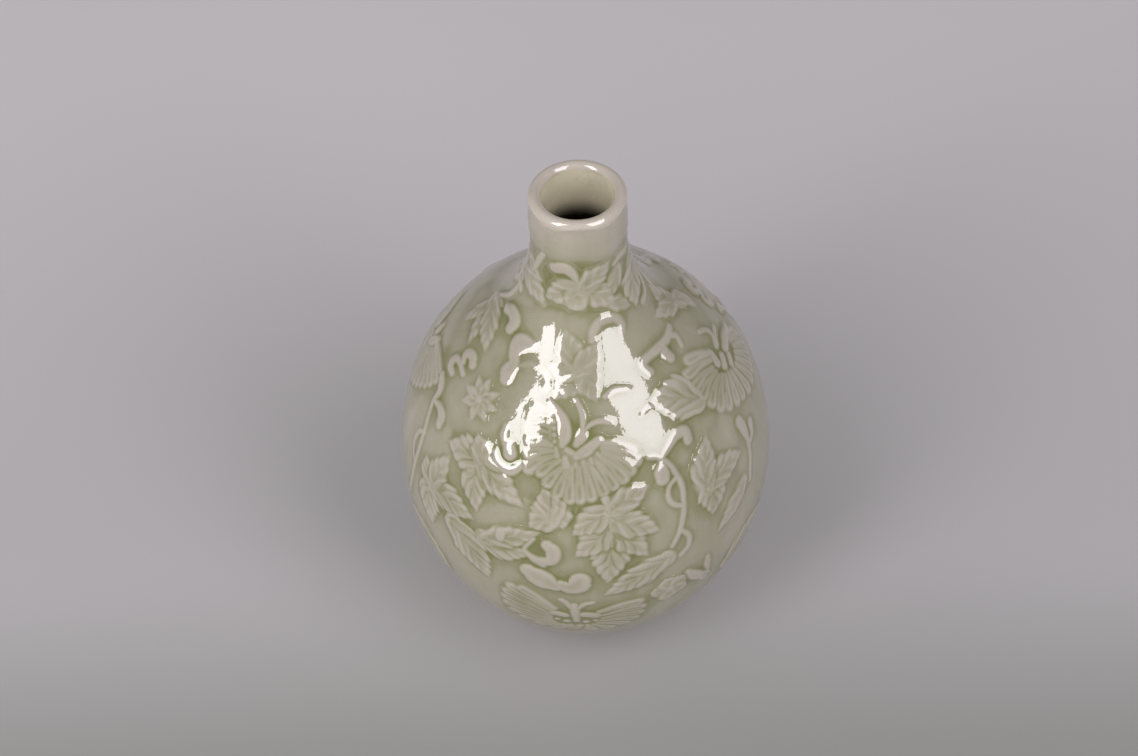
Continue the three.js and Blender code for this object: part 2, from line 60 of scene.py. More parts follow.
# ---- Sizes of the vase, in millimetres
BODY_RADIUS = 80.0
BODY_RISE = 93.0
WIDEST_HEIGHT = 89.0
WALL = 4.7
FLOOR = 7.0
FOOT_RADIUS = 36.1
FOOT_HEIGHT = 6.0
FOOT_WIDTH = 7.0
FOOT_BEVEL = 1.0
NECK_RADIUS = 19.5
SHOULDER_SWEEP = 52.5
NECK_SEAM_HEIGHT = 194.0
LIP_HEIGHT = 233.8
LIP_BEAD = 2.5
COLLAR_HEIGHT = 216.5  # the glaze is thick below this scalloped line and thin above it
COLLAR_WAVE = 1.4
COLLAR_SCALLOPS = 5
COLLAR_LIFT = 0.3  # how far the neck's skin stands out above the line
RIM_HEIGHT = 231.0  # above this the rim's glaze is thinnest
PAINTED_SHADE_FROM = 219.8  # below this the inside is painted dark: painted shade down the bore
PAINTED_SHADE_DEPTH = 11.0
BODY_STEPS = 420  # steps round the body and, below, round the neck and the foot
NECK_STEPS = 240
BODY_ROW = 1.15  # from one row of vertices to the next
NECK_ROW = 1.0

# ---- Relief, in millimetres
LEAF_RISE = 0.95
STEM_RISE = 0.7
MOST_RISE = 1.15
VEIN_STEP = 7.6  # from one side fold of a leaf to the next, along its rib
VEIN_LEAN = 1.7  # how far a fold runs on towards the tip for each millimetre outwards
WALL_OUT = 1.1  # how far a raised edge starts outside its outline
WALL_IN = 1.5  # and how far inside it the edge is full
SPRIG_STEP = 0.45  # spacing of a sprig's vertices
SKIRT = 2.6  # how far a sprig's glaze runs out over the skin
LEVELLING = 1.1  # how widely the glaze levels out the clay's relief
SOFTENED = 0.62  # the share of the relief that still shows through it
SUNK = 0.4  # how deep a sprig's back lies in the clay
EDGE_SUNK = 0.06  # and how deep the edge of its skirt does

# ---- The glaze's thickness, on a scale of its own: 0 is the plain skin's, 0.7 the deepest
MAP_STEP = 0.6  # spacing of the map, in millimetres
POOL_SPREAD = 1.6  # how far glaze pools out from a sprig's foot, in millimetres
POOL = 0.55  # and how thick
WIDE_SPREAD = 4.5  # how far it stays a little thicker
WIDE_POOL = 1.0
PLAIN = -0.06
FOOT_POOL = 0.28  # thicker towards the foot
FOOT_POOL_FROM = -12.0  # measured from the widest point
RUN_OFF = 1.5  # how much thinner it is for each millimetre of raised clay
HELD = 0.5  # how much thicker for each millimetre that the glaze stands there


# ---- The skin's line

def skin_line():
    """Radius, height and outward direction along the skin, from the foot to the lip."""
    low, high = 0.0, math.pi / 2

    def egg(t, rise):
        across, up = math.cos(t) / BODY_RADIUS, math.sin(t) / rise
        size = math.hypot(across, up)
        return (BODY_RADIUS * math.cos(t), WIDEST_HEIGHT + rise * math.sin(t),
                across / size, up / size)

    for _ in range(50):
        middle = (low + high) / 2
        r, z, across, up = egg(middle, BODY_RISE)
        if r + SHOULDER_SWEEP * across > NECK_RADIUS + SHOULDER_SWEEP:
            low = middle
        else:
            high = middle
    r, z, across, up = egg(low, BODY_RISE)
    centre_r, centre_z = r + SHOULDER_SWEEP * across, z + SHOULDER_SWEEP * up
    foot = math.acos(FOOT_RADIUS / BODY_RADIUS)
    drop = (WIDEST_HEIGHT - FOOT_HEIGHT) / math.sin(foot)
    points = [egg(t, drop) for t in np.linspace(-foot, 0, 500)[:-1]]
    points += [egg(t, BODY_RISE) for t in np.linspace(0, low, 400)]
    start = math.atan2(-up, -across)
    for t in np.linspace(start, -math.pi, 300)[1:]:
        out = (-math.cos(t), -math.sin(t))
        points.append((centre_r - SHOULDER_SWEEP * out[0],
                       centre_z - SHOULDER_SWEEP * out[1], *out))
    for z in np.linspace(centre_z, LIP_HEIGHT, 60)[1:]:
        points.append((NECK_RADIUS, z, 1.0, 0.0))
    return np.array(points).T


SKIN_R, SKIN_Z, OUT_R, OUT_Z = skin_line()
SKIN_RUN = np.concatenate([[0], np.cumsum(np.hypot(np.diff(SKIN_R), np.diff(SKIN_Z)))])


def run_at(height):
    """Length along the skin at a height above the widest point."""
    return np.interp(WIDEST_HEIGHT + np.asarray(height, float), SKIN_Z, SKIN_RUN)


def radius_at(run):
    return np.interp(run, SKIN_RUN, SKIN_R)


def on_skin(turn, run, lift):
    """Points in metres, from degrees round, length along the skin and lift off it."""
    r = np.interp(run, SKIN_RUN, SKIN_R) + lift * np.interp(run, SKIN_RUN, OUT_R)
    z = np.interp(run, SKIN_RUN, SKIN_Z) + lift * np.interp(run, SKIN_RUN, OUT_Z)
    angle = np.radians(turn)
    return np.stack([r * np.sin(angle), -r * np.cos(angle), z], -1) * MM


def landed(place, x, y):
    """Degrees and run of points given in millimetres about a place."""
    turn, height, lean = place
    c, s = math.cos(math.radians(lean)), math.sin(math.radians(lean))
    run = run_at(height) + x * s + y * c
    return turn + np.degrees((x * c - y * s) / radius_at(run)), run


def about(place, turn, run):
    """Millimetres about a place of points given by degrees and run."""
    at, height, lean = place
    c, s = math.cos(math.radians(lean)), math.sin(math.radians(lean))
    across = np.radians((turn - at + 180.0) % 360.0 - 180.0) * radius_at(run)
    up = run - run_at(height)
    return across * c + up * s, up * c - across * s


# ---- Lines and distances on the clay

def flowing(points, closed, sharp=58.0, step=0.8):
    """A smooth line through points, which keeps its corners where it turns sharply."""
    points = np.array(points, float)
    count = len(points)
    ahead = np.roll(points, -1, 0) - points
    if not closed:
        ahead[-1] = ahead[-2]
    behind = np.roll(ahead, 1, 0)
    if not closed:
        behind[0] = ahead[0]
    bend = np.degrees(np.arccos(np.clip(
        (ahead[:, :2] * behind[:, :2]).sum(1)
        / np.maximum(np.hypot(*ahead[:, :2].T) * np.hypot(*behind[:, :2].T), 1e-9), -1, 1)))
    line = []
    for i in range(count if closed else count - 1):
        j = (i + 1) % count
        chord = ahead[i]
        leave = chord if bend[i] > sharp else (ahead[i] + behind[i]) / 2
        arrive = chord if bend[j] > sharp else (ahead[i] + ahead[j]) / 2
        size = np.hypot(*chord[:2])
        leave = leave * size / max(np.hypot(*leave[:2]), 1e-9)
        arrive = arrive * size / max(np.hypot(*arrive[:2]), 1e-9)
        parts = max(2, int(size / step))
        for t in np.arange(parts) / parts:
            line.append((2 * t**3 - 3 * t**2 + 1) * points[i] + (t**3 - 2 * t**2 + t) * leave
                        + (3 * t**2 - 2 * t**3) * points[j] + (t**3 - t**2) * arrive)
    if not closed:
        line.append(points[-1])
    return np.array(line)


def to_line(x, y, line):
    """Distance to a line, how far along it the nearest point is, the line's length, its third
    value there, if it has one, and the side of it: 1 on the left, -1 on the right."""
    best = np.full(x.shape, 1e9)
    along = np.zeros(x.shape)
    value = np.zeros(x.shape)
    side = np.ones(x.shape)
    gone = 0.0
    for a, b in zip(line[:-1], line[1:]):
        dx, dy = b[0] - a[0], b[1] - a[1]
        size = math.hypot(dx, dy)
        t = np.clip(((x - a[0]) * dx + (y - a[1]) * dy) / max(size * size, 1e-9), 0, 1)
        away = np.hypot(x - a[0] - t * dx, y - a[1] - t * dy)
        closer = away < best
        best = np.where(closer, away, best)
        along = np.where(closer, gone + t * size, along)
        if len(a) > 2:
            value = np.where(closer, a[2] + t * (b[2] - a[2]), value)
        side = np.where(closer, np.sign(dx * (y - a[1]) - dy * (x - a[0])), side)
        gone += size
    return best, along, gone, value, side


def eased(t):
    t = np.clip(t, 0, 1)
    return t * t * (3 - 2 * t)


def crest(away, width):
    return np.exp(-((away / width) ** 2))


# ---- Kinds of relief. Each gives points that bound it and a function of x and y, which
# ---- returns how deep inside its outline a point lies and how high the clay stands.

def edge_of(depth, rise):
    """The rounded edge of a raised shape: nothing outside it, full inside it."""
    return rise * eased((depth + WALL_OUT) / (WALL_OUT + WALL_IN))


def lobe(half, *rib, blunt=False):
    """A lobe or petal: its half width, and its rib from the stalk to the tip."""
    line = flowing(rib, False)

    def shape(x, y):
        away, along, length, _, side = to_line(x, y, line)
        t = along / length
        early, late = np.clip(0.42 - t, 0, 1) / 0.42, np.clip(t - 0.42, 0, 1) / 0.58
        width = half * (1 - 0.35 * early**2) * (1 - late ** (3.0 if blunt else 1.4))
        fold = (along - VEIN_LEAN * away) / VEIN_STEP + 0.22 * side + 0.12 * np.sin(
            0.4 * x + 0.6 * y + half)
        teeth = np.cos(2 * math.pi * fold) * (0.02 if blunt else 0.06)
        width = width * (1 + teeth)
        across = np.clip(away / np.maximum(width, 0.8), 0, 1)
        return width - away, across, t, fold, away, along

    return line[:, :2], half, blunt, shape


def leaf(*lobes, rise=LEAF_RISE):
    """A leaf of lobes, the later ones over the earlier, each with a raised wavy border, a
    groove down its middle and soft folds between its side veins."""
    def clay(x, y):
        depth = np.full(x.shape, -1e9)
        height = np.zeros(x.shape)
        for _, half, blunt, shape in lobes:
            inside, across, t, fold, away, along = shape(x, y)
            folds = np.cos(2 * math.pi * fold) + 0.3 * np.cos(4 * math.pi * fold + 1.2 * half)
            top = 0.74 + 0.2 * eased((across - 0.2) / 0.6)
            top -= 0.2 * crest(away, 0.6) * (1 - t)
            top += (0.1 if blunt else 0.2) * folds * eased(away / 1.2) * eased(half / 2 - 0.5)
            own = edge_of(inside, rise * top)
            free = eased(along / (0.6 * half))
            over = eased((inside + 0.7) / 1.1) * free
            height = np.maximum(height, own) * (1 - over) + own * over
            height -= 0.3 * crest(inside + 0.8, 0.55) * free * eased(height / 0.5 - 0.6)
            depth = np.maximum(depth, inside)
        return depth, height

    bounds = np.vstack([line + side * half for line, half, _, _ in lobes for side in (-1, 1)])
    return bounds, clay


def tongues(half, *ends, rise=LEAF_RISE):
    """A wing of long round-ended tongues that lap over each other, each bent a little, with a
    slot towards its tip."""
    ends = np.array(ends, float)

    def clay(x, y):
        depth = np.full(x.shape, -1e9)
        height = np.zeros(x.shape)
        for ax, ay, bx, by in ends:
            bent = ((ax + bx) / 2, (ay + by) / 2 + 0.09 * abs(bx - ax))
            line = flowing([(ax, ay), bent, (bx, by)], False, 180.0, 2.0)
            away, along, length, _, side = to_line(x, y, line)
            t = along / length
            width = half * (0.6 + 0.4 * np.minimum(t / 0.85, 1))
            inside = width - away
            across = away / width
            slot = 0.06 + 0.3 * eased((t - 0.4) / 0.35)
            top = 0.92 - slot * crest(across, 0.3) + 0.1 * side * eased(across / 0.7)
            height = np.maximum(height, edge_of(inside, rise * top))
            depth = np.maximum(depth, inside)
        return depth, height

    dots = np.vstack([ends[:, :2], ends[:, 2:]])
    return np.vstack([dots - half, dots + half]), clay


def stem(*stations, rise=STEM_RISE):
    """A stem, curl, bead or scroll along stations of x, y and half width."""
    line = flowing(stations, False, sharp=120.0) if len(stations) > 1 else np.array(stations * 2)

    def clay(x, y):
        away, _, _, half, _ = to_line(x, y, line)
        depth = half - away
        high = np.minimum(MOST_RISE, rise + 0.16 * half) - 0.12 * eased((half - 2) / 2) * eased(
            1 - away / np.maximum(half, 0.5) * 1.4)
        return depth, high * eased((depth + 0.8) / (np.minimum(half, WALL_IN) + 0.8))

    return np.vstack([line[:, :2] - line[:, 2:], line[:, :2] + line[:, 2:]]), clay


def polar(angle, reach, x=0.0, y=0.0):
    return x + reach * math.cos(math.radians(angle)), y + reach * math.sin(math.radians(angle))


def blossom(angles, reach, half, blunt, button):
    """A flower of petals round a button."""
    petals = [lobe(half, polar(a, 0.8), polar(a, reach / 2), polar(a, reach), blunt=blunt)
              for a in angles]
    return [leaf(*petals), stem((0, 0, button), rise=0.9)]


# ---- Drawings, in millimetres about each sprig's place

LONG_LEAF = leaf(lobe(9.3, (-9.3, 7.6), (-3.2, 3), (3, -4.8), (8.2, -14.5)))
BUTTERFLY = [
    tongues(2.8, (-10.9, 2.1, -19.7, 1.8), (-10.6, 0, -20.2, -3.5), (-10.1, -2.1, -20.6, -9),
            (-7.3, -3.7, -15.1, -9.4), (-6.1, -6.2, -12.3, -13.6), (-4.4, -6.9, -8.3, -17.5),
            (-2.8, -6.7, -3.7, -19.8), (0, -6.7, 0.6, -19.6), (2.7, -6.7, 5.1, -18.9),
            (5.1, -6.5, 10, -17.1), (7.5, -4.4, 14.1, -15), (9.2, -3, 18.2, -12.7),
            (10, -0.9, 21.2, -10.1), (9.7, 1.1, 23.7, -6.9), (8.9, 2.8, 22, -3)),
    tongues(1.9, (-11, 15.2, -17.3, 15.9), (-10.9, 12.4, -19.4, 12.9), (-11.4, 9.4, -20.2, 9.7),
            (-11.4, 6.7, -20.7, 6.4), (-11.3, 4.4, -20.2, 4.1), rise=0.55),
    stem((-10.6, 17, 2.6), (-9.6, 6, 3.2), (-8, -1, 4), (-3, -3.4, 4.4), (4, -2.4, 4.4),
         (8, 1.4, 3.2), rise=0.0),
    stem((-11.4, 19.1, 1.4), (-8.1, 15.7, 2), (-5.8, 11.5, 2.6), (-5.4, 6.6, 3), (-6.4, 2.6, 1.9)),
    stem((-10.4, 14.4, 1.5)), stem((-9.8, 11.6, 1.4)), stem((-9.6, 9, 1.4)),
    stem((-9.5, 6.3, 1.4)), stem((-9.4, 3.7, 1.4)),
    stem((-0.6, -1.8, 2.2), (3.4, 0.6, 2.9), (7.8, 3.9, 2.2)),
    stem((2.2, 8.8, 1.6), (1.3, 6, 2.7), (-0.6, 3, 1.8)),
    stem((-5.2, -2.6, 1.8), (-4.9, -5.6, 2.4)), stem((-4.6, 0.6, 1.8), (-1.8, -0.8, 1.8)),
    stem((-8.9, 1, 1.4), (-8.6, -2, 1.9)), stem((-1, -4.6, 1.4), (-1, -6, 1.5)),
    stem((2, -3.9, 1.4), (2.3, -5.8, 1.5)), stem((5, -2.9, 1.4), (5.6, -4.8, 1.5)),
    stem((7.6, -0.9, 1.4), (8.8, -2.4, 1.5))]

# Every sprig as its node, place (degrees round, height above the widest point, lean), kinds
# of relief, and whether the far side carries it too.
SPRIGS = [
    ("butterfly_large", (-3, 61, 0), [
        *BUTTERFLY, stem((1.6, 7.4, 0.9), (2, 12, 1.1), (1.2, 16.6, 0.9), (-0.8, 21, 0.5)),
        stem((2.4, 8.5, 0.8), (4.8, 10.8, 0.9), (8.8, 12, 0.9), (13.7, 10.8, 0.6))], True),
    ("butterfly_side", (77.5, 59.5, 0), [
        tongues(2.8, (-4, 11.4, -14.1, 18.4), (-6.7, 10.1, -20.1, 15), (-9.3, 7.6, -22.4, 9.5),
                (-9.8, 5.5, -23.3, 4.2), (-10.2, 3.2, -22.4, -1), (-8.6, 1.4, -20.2, -5.6),
                (-7.1, -0.2, -16.3, -9), (-5, -1.4, -10.8, -11.6), (-2.7, -2.8, -5.6, -13.6),
                (0, -4.4, 0.8, -16.8), (3.4, -5.1, 7.8, -18.4), (6.4, -4.6, 13.6, -18.2),
                (9, -3.7, 18.8, -17.2), (11.3, -2.3, 22.8, -15), (12.4, 0.4, 24, -10.6),
                (12.6, 2.6, 22.6, -6)),
        stem((19, 1.5, 2.2), (11.2, 3.7, 2.8), (5.7, 3.5, 2.4)),
        stem((2.2, 9, 1.4), (6.1, 12, 1.3), (5.9, 15.7, 1.1), (2.2, 19, 0.7)),
        stem((3.6, 8.8, 1.3), (7.3, 10.4, 1.2), (11.5, 10.8, 0.8)),
        stem((-3.6, 11.3, 1.8), (-5.3, 6.2, 2.4)), stem((0.1, 4.6, 1.9), (-3.3, 2.1, 2.4)),
        stem((3.8, 0.5, 2), (1.2, -1.6, 2))], False),
    ("butterfly_left", (-99, 56, 20), BUTTERFLY, False),
    ("butterfly_low", (-5, -28.5, 0), [
        tongues(2.9, (-9, 8.5, -22, 19.5), (-9.4, 5.5, -27, 19), (-11, 2.6, -29, 14),
                (-11.2, -0.4, -29.8, 8.6), (-11, -3.6, -29.4, 2.6), (-10, -6.6, -27, -3.6),
                (-8.6, -8.6, -22.6, -9.6), (-6, -9.6, -16.6, -14), (-2.6, -9.4, -8.8, -15.4),
                (1.6, -9.4, -1.4, -13.6), (4.6, -9.4, 6, -15.4), (7.4, -8.6, 13.6, -14.6),
                (9.6, -6.6, 20.4, -11.2), (10.8, -3.6, 24.4, -6.2), (11.6, -0.6, 26.6, -0.8),
                (11.6, 2.6, 27.6, 4.6), (10.5, 6, 26.8, 10)),
        stem((-0.3, 12.5, 1.8), (0, 6, 2.3), (0.3, -4, 1.6)),
        stem((-5.6, 16.5, 1.2), (-3.7, 14.5, 1.3), (-1.6, 10, 1.2)),
        stem((7.3, 14.6, 1.2), (4, 13.4, 1.4), (1.5, 10, 1.2)),
        stem((3.6, 3.9, 2.6), (8.4, 2.9, 3)), stem((-9, 4.1, 2.8), (-4.6, 2.6, 2.4)),
        stem((4.2, -4.4, 1.9)), stem((-4, -4.4, 1.9)), stem((8.4, -3, 1.6)), stem((-8, -2.8, 1.6))],
     True),
    ("vine_leaf", (5.8, 28, 0), [
        leaf(lobe(7.9, (1.3, -4), (0.6, -14.8), (-1, -28.2)),
             lobe(6.7, (2.1, 3), (7.3, -4), (12.1, -10.2), (16.2, -16.2)),
             lobe(7.2, (0.6, 3), (-6.7, -5.1), (-13.5, -11.5)),
             lobe(6.7, (2, 6.9), (9.3, 2.5), (15.5, -0.7), (21.5, -4.4)),
             lobe(6.5, (1, 10.1), (-7, 5.5), (-14.2, -0.3)),
             lobe(6, (1.6, 11.4), (9.9, 14.7), (18.2, 18.2))),
        stem((0.1, 16, 2.2), (1.1, 10.8, 1.5), (1.3, 2.3, 1), (1.3, -7, 0.7))], True),
    ("upper_leaf", (-39.5, 45, 0), [
        leaf(lobe(7.2, (0.5, 4), (0.2, -6.7), (3.5, -19)),
             lobe(7.7, (0, 4.5), (-8.5, 3.4), (-17.5, 2.4)),
             lobe(6.5, (1, 5), (6.9, 1), (14, -3), (23, -8)),
             lobe(5.3, (0.6, 5.3), (-1.6, 9.9), (-4.5, 14)))], True),
    ("left_leaf", (-54, 21.5, 0), [
        leaf(lobe(7.7, (-3, 1.6), (-4.6, -9), (-2.4, -21)),
             lobe(6.3, (-3, 2), (-7.6, 6), (-10.6, 11.4)),
             lobe(7.4, (-2, 1.5), (8.5, 2.4), (15.4, 1.6), (22, 0.8)),
             lobe(5.6, (-2.9, 1.6), (-0.5, 11.4), (2.7, 21.6)))], True),
    ("low_left_leaf", (-38, 5, 0), [LONG_LEAF], True),
    ("hooked_leaf", (-26, 17, 0), [
        leaf(lobe(7.4, (-9.6, -2.4), (0.6, -2.6), (10.6, -2.8)),
             lobe(5.6, (-9.6, -1.6), (1.6, 4), (14.6, 10.6))),
        stem((-2.1, 5.2, 2.7), (-2.4, 2.6, 2.7)),
        stem((18.1, 4.5, 2.8), (20.6, 1.6, 3.4), (19.8, -3.4, 3), (15.4, -4.4, 2.2),
             (11, -2.8, 1.7), (8.3, -0.3, 1.3), (12, 6.8, 1)),
        stem((8.9, -0.5, 1.2), (12.8, -4.7, 1.7), (16.6, -6.6, 1.9))], True),
    ("small_leaf", (-12.4, 39, 0), [
        leaf(lobe(6, (1, -0.5), (4.3, -4), (6.2, -8.9)),
             lobe(6.7, (1.4, -2), (-2.8, -6), (-8.1, -10.6)),
             lobe(7.2, (0.6, -5), (-0.2, 1.3), (-3, 8.6)))], True),
    ("leaflets", (43, 34, 0), [
        leaf(lobe(7.7, (-1.5, 1), (-0.8, -8), (-2.6, -17)),
             lobe(6.5, (0, -1.6), (9.6, 0), (20.6, -1.2)),
             lobe(6.7, (-3.6, -2.9), (-1.6, 6.6), (5, 19)))], True),
    ("shell_leaf", (42, 68, 0), [leaf(lobe(8.8, (9, -5.4), (0.8, 0.6), (-10.4, 4.4)))], False),
    ("shoulder_leaf", (-4, 83.5, 0), [
        leaf(lobe(5.3, (-0.3, -0.6), (-4.2, -6.3), (-9.3, -12.4)),
             lobe(5.6, (1.3, 1), (4.7, -5.8), (8.2, -12.8)),
             lobe(5.3, (0, 0), (-5.4, -0.6), (-11.3, 0)),
             lobe(5.7, (-0.3, 0), (-2.8, 7.9), (-4.9, 16.2)),
             lobe(5.8, (0.3, 0.2), (4.8, 4.6), (8.2, 10.4)), rise=0.6)], True),
    ("spray_leaf", (-86, 81, 0), [
        leaf(lobe(3.9, (-5.6, 4), (-6, -3), (-6, -11)), lobe(3.2, (-6, 4), (-2, 8), (1.6, 10.4)),
             lobe(4.2, (-6, 5), (0, -1), (7.8, -10.6)),
             lobe(5.3, (-6.4, 5.4), (4, 2), (16.3, -5.4)))], False),
    ("forked_leaf", (93, 84, 0), [
        leaf(lobe(4.4, (-1, -2.8), (3.6, -8), (3, -15)),
             lobe(4.9, (0, -3.6), (-2.2, 4), (-2, 13.6)),
             lobe(4.6, (-1.2, -2.8), (-7, 1.5), (-14.6, 5.3)))], False),
    ("neck_leaf", (-3, 112, 0), [
        leaf(lobe(6, (1, 1.4), (-5.2, -0.9), (-14, -5.6)),
             lobe(5.3, (1.7, 1.8), (8.4, -3), (16, -9.6)),
             lobe(5.3, (0.6, 1), (-1, -4), (-3.6, -8), blunt=True),
             lobe(5.6, (1.6, 1.3), (7, 6.2), (13.4, 11.6))),
        leaf(lobe(4.2, (17.7, 4.6), (15.6, -0.3), (12.6, -6.2)),
             lobe(3, (12.6, -7.6), (18.3, -10.6), (24, -14.4)), rise=0.7),
        stem((-9.1, 10.4, 2.6), (-4.8, 11.4, 3), (-1.7, 8.6, 2.2), (0.2, 4.3, 1.3))], True),
    ("neck_side_leaf", (64, 103.5, 0), [
        leaf(lobe(7.4, (6.6, 5.6), (1, 0.6), (-3, -7.6))),
        stem((9.4, 0.6, 1.6), (9, -5, 1.7), (5.8, -8.2, 1.5), (1.3, -9.2, 1.2)),
        leaf(lobe(5.6, (8.4, 12), (4.6, 4), (3.4, -6)), rise=0.8),
        stem((13.4, -2, 1.1), (14.6, -12, 1.5), (11, -20, 1)),
        stem((-6.8, 17.6, 1.1), (-3.6, 19.2, 1.9), (1, 18.6, 1.8))], True),
    ("neck_small_leaf", (-66, 107.5, 0), [
        leaf(lobe(5.3, (-4.6, 1), (3.4, -0.2), (10.6, -4.6))),
        leaf(lobe(5.2, (-0.9, 9), (2.4, 2), (9, -4)), rise=0.75),
        leaf(lobe(4.6, (-11.4, 4), (-9.3, -3), (-6, -9)), rise=0.7),
        stem((7.4, 20.6, 1), (3.8, 14, 1.6), (0.4, 6.2, 1.5)),
        stem((-9.6, -7.6, 2), (-5, -7.8, 2.1))], False),
    ("low_leaf", (13.5, -0.5, 0), [leaf(lobe(7.2, (13.4, 6.8), (3.2, 2), (-13, -8)))], True),
    ("spike_leaf", (37, -16.6, 0), [
        leaf(lobe(3, (0, -1), (1.6, -4.4), (2.5, -9))),
        stem((-8.4, 7.8, 1.5), (-4.9, 2.6, 2.9), (-0.8, -1.6, 2.8)),
        stem((1.8, 10.4, 1), (2, 5.6, 2), (3, 0, 1))], False),
    ("far_left_leaf", (-60, -19, 10), [LONG_LEAF], False),
    ("far_right_leaf", (58, -18, 80), [LONG_LEAF], False),
    ("tip_leaf", (50, 12, 0), [leaf(lobe(4.6, (9, 6.4), (0, 0.6), (-10.6, -6.6)))], False),
    ("star_flower", (-50, 67, 0),
     blossom([130, 94, 46, 2, -40, -86, -143, 177], 9.4, 2.3, False, 2.2), True),
    ("round_flower", (25, -16, 0), blossom([170, 108, 40, -28, -98], 9.2, 4.4, True, 2.7), True),
    ("left_vine", (-69, 35, 0), [
        stem((-6, 29.5, 2), (-3, 27.4, 2.3), (-1.2, 24.2, 1.9), (-1.4, 19.6, 1.5)),
        stem((-0.7, 20, 1.4), (3.8, 20.6, 2), (7.6, 18.6, 2.4), (8.4, 14.8, 2.1)),
        stem((-1.6, 19, 1.3), (0, 13, 1.2), (2, 4, 1.1), (2, -9, 1.1), (0.2, -23, 1.1),
             (-3, -35, 1)),
        stem((2.4, 5, 1), (-1.8, 1, 1), (-3, -7, 1), (1.4, -14, 0.9))], True),
    ("right_vine", (31, 33, 0), [
        stem((-9, 24.6, 1.2), (-6, 23.6, 1.4), (-2.4, 19.4, 1.4), (0, 13.2, 1.4), (1.3, 6.7, 1.4),
             (0.8, 0.5, 1.3), (-0.2, -5.3, 1.3), (-2.1, -11.3, 1.3), (-4.5, -16.6, 1.2),
             (-7.4, -21, 1)),
        stem((-3.6, 22.4, 1.3), (0.6, 25.6, 1.8), (5.4, 28.2, 2.3), (9.4, 27.4, 2.5),
             (9.8, 23.6, 2.2)),
        stem((-4.6, 20.4, 1.6), (-5.6, 16.4, 3.4), (-6, 13.6, 3.2)),
        stem((0.2, 11.6, 1.1), (-4, 9.3, 1.1), (-5.6, 4.9, 1.1), (-4.4, 0.6, 1.1),
             (-0.4, -2.4, 1.1)),
        stem((-2.6, -14.4, 1), (0.6, -19.4, 1.1), (0, -25, 1.2), (-3.6, -28.4, 1.3))], True),
    ("forked_scroll", (-70, 70, 0), [
        stem((-0.6, -6.4, 1.5), (-4.2, -5.4, 2.1), (-4.6, -1.9, 1.9), (-0.7, -0.6, 1.5),
             (4.6, -2.1, 1.1)),
        stem((5, 3.8, 2), (2, 5.8, 2.3), (-1.6, 4, 2.1), (0.2, 0.8, 1.6))], True),
    ("curl_scroll", (-32, 57, 0), [
        stem((-1.3, 9, 1.4), (-1, 5.6, 2), (0.1, 2.2, 1.4)),
        stem((2.2, 2, 2.8), (3.6, -0.8, 3.1)),
        stem((-3.2, -3, 1.5), (-1, -6.4, 2.1), (4.8, -8, 2.4), (8.9, -4.8, 1.9))], False),
    ("twin_scroll", (-10, 0, 0), [
        stem((-11.8, 5, 4), (-8.6, 2.6, 5.6), (-4.6, 0, 5.6), (-0.8, -2.4, 3.4)),
        stem((1.6, -0.4, 2.6), (5, -2.2, 4.6), (8.6, -0.4, 5.6), (9.8, 2.4, 4.6))], True),
    ("branch_scroll", (50, 80, 0), [
        stem((-9, -2.6, 2), (-9.4, 0.8, 1.9), (-5.6, 2.4, 1.9), (1.6, 2.4, 2.2), (7.4, 2.2, 1.9),
             (13, 3.4, 1.5)),
        stem((3.2, 2, 2.3), (2.4, -1, 2.6), (3, -3.6, 2.3)),
        stem((9.4, 2.2, 1.2), (12.6, -0.6, 1.3), (11.6, -4.4, 1.2))], False),
    ("shoulder_curl", (23, 95, 0), [
        stem((-7.7, -3.4, 1.5), (-6, 0.6, 1.9), (-2, 4, 2.2), (3.4, 3.4, 2.2), (6, -0.4, 1.9),
             (5.6, -3.6, 1.5), rise=0.35),
        stem((-9.9, -26.5, 0.7), (-5, -24.6, 1.2), (0.3, -25.6, 0.7), rise=1.0),
        stem((1.9, -37.1, 0.6), (5.7, -35.4, 1.1), (7.6, -36, 0.8), rise=1.0)], False),
    ("left_curl", (-66, 89, 0), [
        stem((-6.2, 1, 2), (-1.6, 3, 2.9), (2.4, 1.4, 3.1), (2.6, -2.2, 2.6))], False),
    ("shoulder_scroll", (-36, 83, 0), [
        stem((-1.2, 6.4, 2.2), (-4.4, 5.6, 3.6), (-7.4, 3.4, 3.9), (-7.4, -0.4, 3),
             (-5.6, -3.6, 2.7), (-6.4, -8.4, 3.6), (-6, -10.5, 3), rise=0.35),
        stem((-3.2, -3.6, 1.2), (1.8, -0.8, 1.2), (7.2, -1.5, 1.3), (10.1, -3.8, 1.6),
             (12.2, -8.4, 1.6), rise=0.1)], True),
    ("side_scroll", (64, 30, 0), [
        stem((-0.4, 14, 2.6), (0.4, 9.6, 2.8), (0.4, 3, 1.6), (-1.2, -4, 1.3), (-3.9, -10.4, 1.2),
             (-5.4, -15, 1.1)),
        stem((0.2, 0.6, 1.2), (4.6, 2.4, 1.8), (6.6, 6.6, 2.4))], False),
]


def relief_of(kinds):
    """One function of x and y for all kinds of a sprig together, and the box it fills."""
    points = np.vstack([points for points, _ in kinds])

    def clay(x, y):
        depth, height = kinds[0][1](x, y)
        for _, each in kinds[1:]:
            d, h = each(x, y)
            depth, height = np.maximum(depth, d), np.maximum(height, h)
        return depth, height

    return clay, points.min(0), points.max(0)


# ---- The glaze's thickness: it runs off raised clay and pools round the foot of each sprig.

